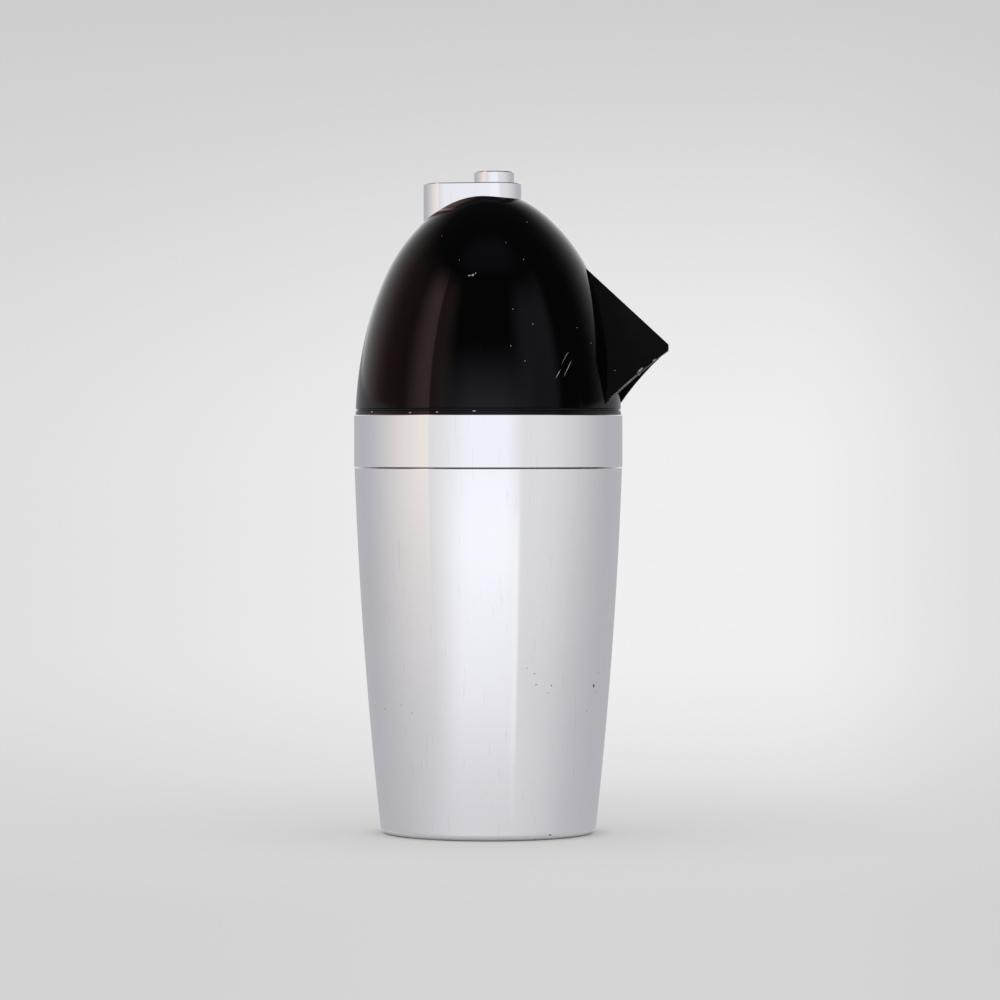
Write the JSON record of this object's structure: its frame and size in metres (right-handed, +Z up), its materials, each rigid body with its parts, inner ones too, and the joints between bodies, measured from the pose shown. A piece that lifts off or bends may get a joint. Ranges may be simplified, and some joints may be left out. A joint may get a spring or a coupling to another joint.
{
  "type": "soda siphon",
  "caption": "Streamlined household soda siphon: tapered chrome bottle, screwed-on head with an enamelled dome, folded spout hood and push button on a chrome bridge.",
  "frame": {"origin": "centre of the flat base, on the bottle's axis", "axes": "+Z up along the bottle, +X out of the spout, +Y to the left of someone looking out along the spout"},
  "size_m": [0.1172, 0.0992, 0.2444],
  "materials": {
    "chrome": "bright plated, with fine pits and scratches",
    "black_enamel": "gloss baked enamel, chipped and scratched",
    "brass": "turned, dull",
    "steel": "plain",
    "rubber": "matt"
  },
  "bodies": {
    "bottle": {"bottle_shell": "chrome", "bottle_neck": "brass"},
    "neck_seal": {"neck_gasket": "rubber"},
    "head": {"collar_band": "chrome", "dome": "black_enamel", "spout_hood": "black_enamel", "bridge_housing": "chrome", "head_plate": "brass", "plate_screws": "steel", "valve_body": "brass", "dip_tube": "brass", "dip_tube_washer": "rubber", "dip_tube_nut": "brass", "valve_seat": "rubber", "stem_packing": "rubber", "gland_nut": "brass", "nozzle_tube": "brass", "nozzle_nut": "brass", "nozzle_tip": "chrome", "charger_tube": "brass", "charger_bulb": "steel", "bulb_seal": "rubber", "piercing_pin": "steel", "check_ball": "steel", "check_spring": "steel", "check_plug": "brass", "return_spring": "steel"},
    "plunger": {"button": "chrome", "push_rod": "steel", "valve_disc": "rubber", "disc_holder": "brass"},
    "plug_seal": {"plug_pad": "rubber"},
    "plug": {"charger_plug": "chrome"}
  },
  "joints": [
    {"name": "head_lift", "type": "slide", "parent": "bottle", "child": "neck_seal", "axis": [0, 0, 1], "range_m": [0, 0.0121]},
    {"name": "head_turn", "type": "hinge", "parent": "neck_seal", "child": "head", "pos_m": [0, 0, 0.146], "axis": [0, 0, 1], "range_deg": [0, 1080]},
    {"name": "button_press", "type": "slide", "parent": "head", "child": "plunger", "axis": [0, 0, -1], "range_m": [0, 0.003], "stiffness_N_per_m": 1500, "springref_m": -0.006, "deforming": ["return_spring"]},
    {"name": "plug_lift", "type": "slide", "parent": "head", "child": "plug_seal", "axis": [0, 0, 1], "range_m": [0, 0.0061]},
    {"name": "plug_turn", "type": "hinge", "parent": "plug_seal", "child": "plug", "pos_m": [-0.0143, 0, 0.237], "axis": [0, 0, 1], "range_deg": [0, 1440]}
  ],
  "couplings": [
    {"joint": "head_lift", "follows": "head_turn", "m_per_rad": 0.00063662},
    {"joint": "plug_lift", "follows": "plug_turn", "m_per_rad": 0.00023873}
  ]
}
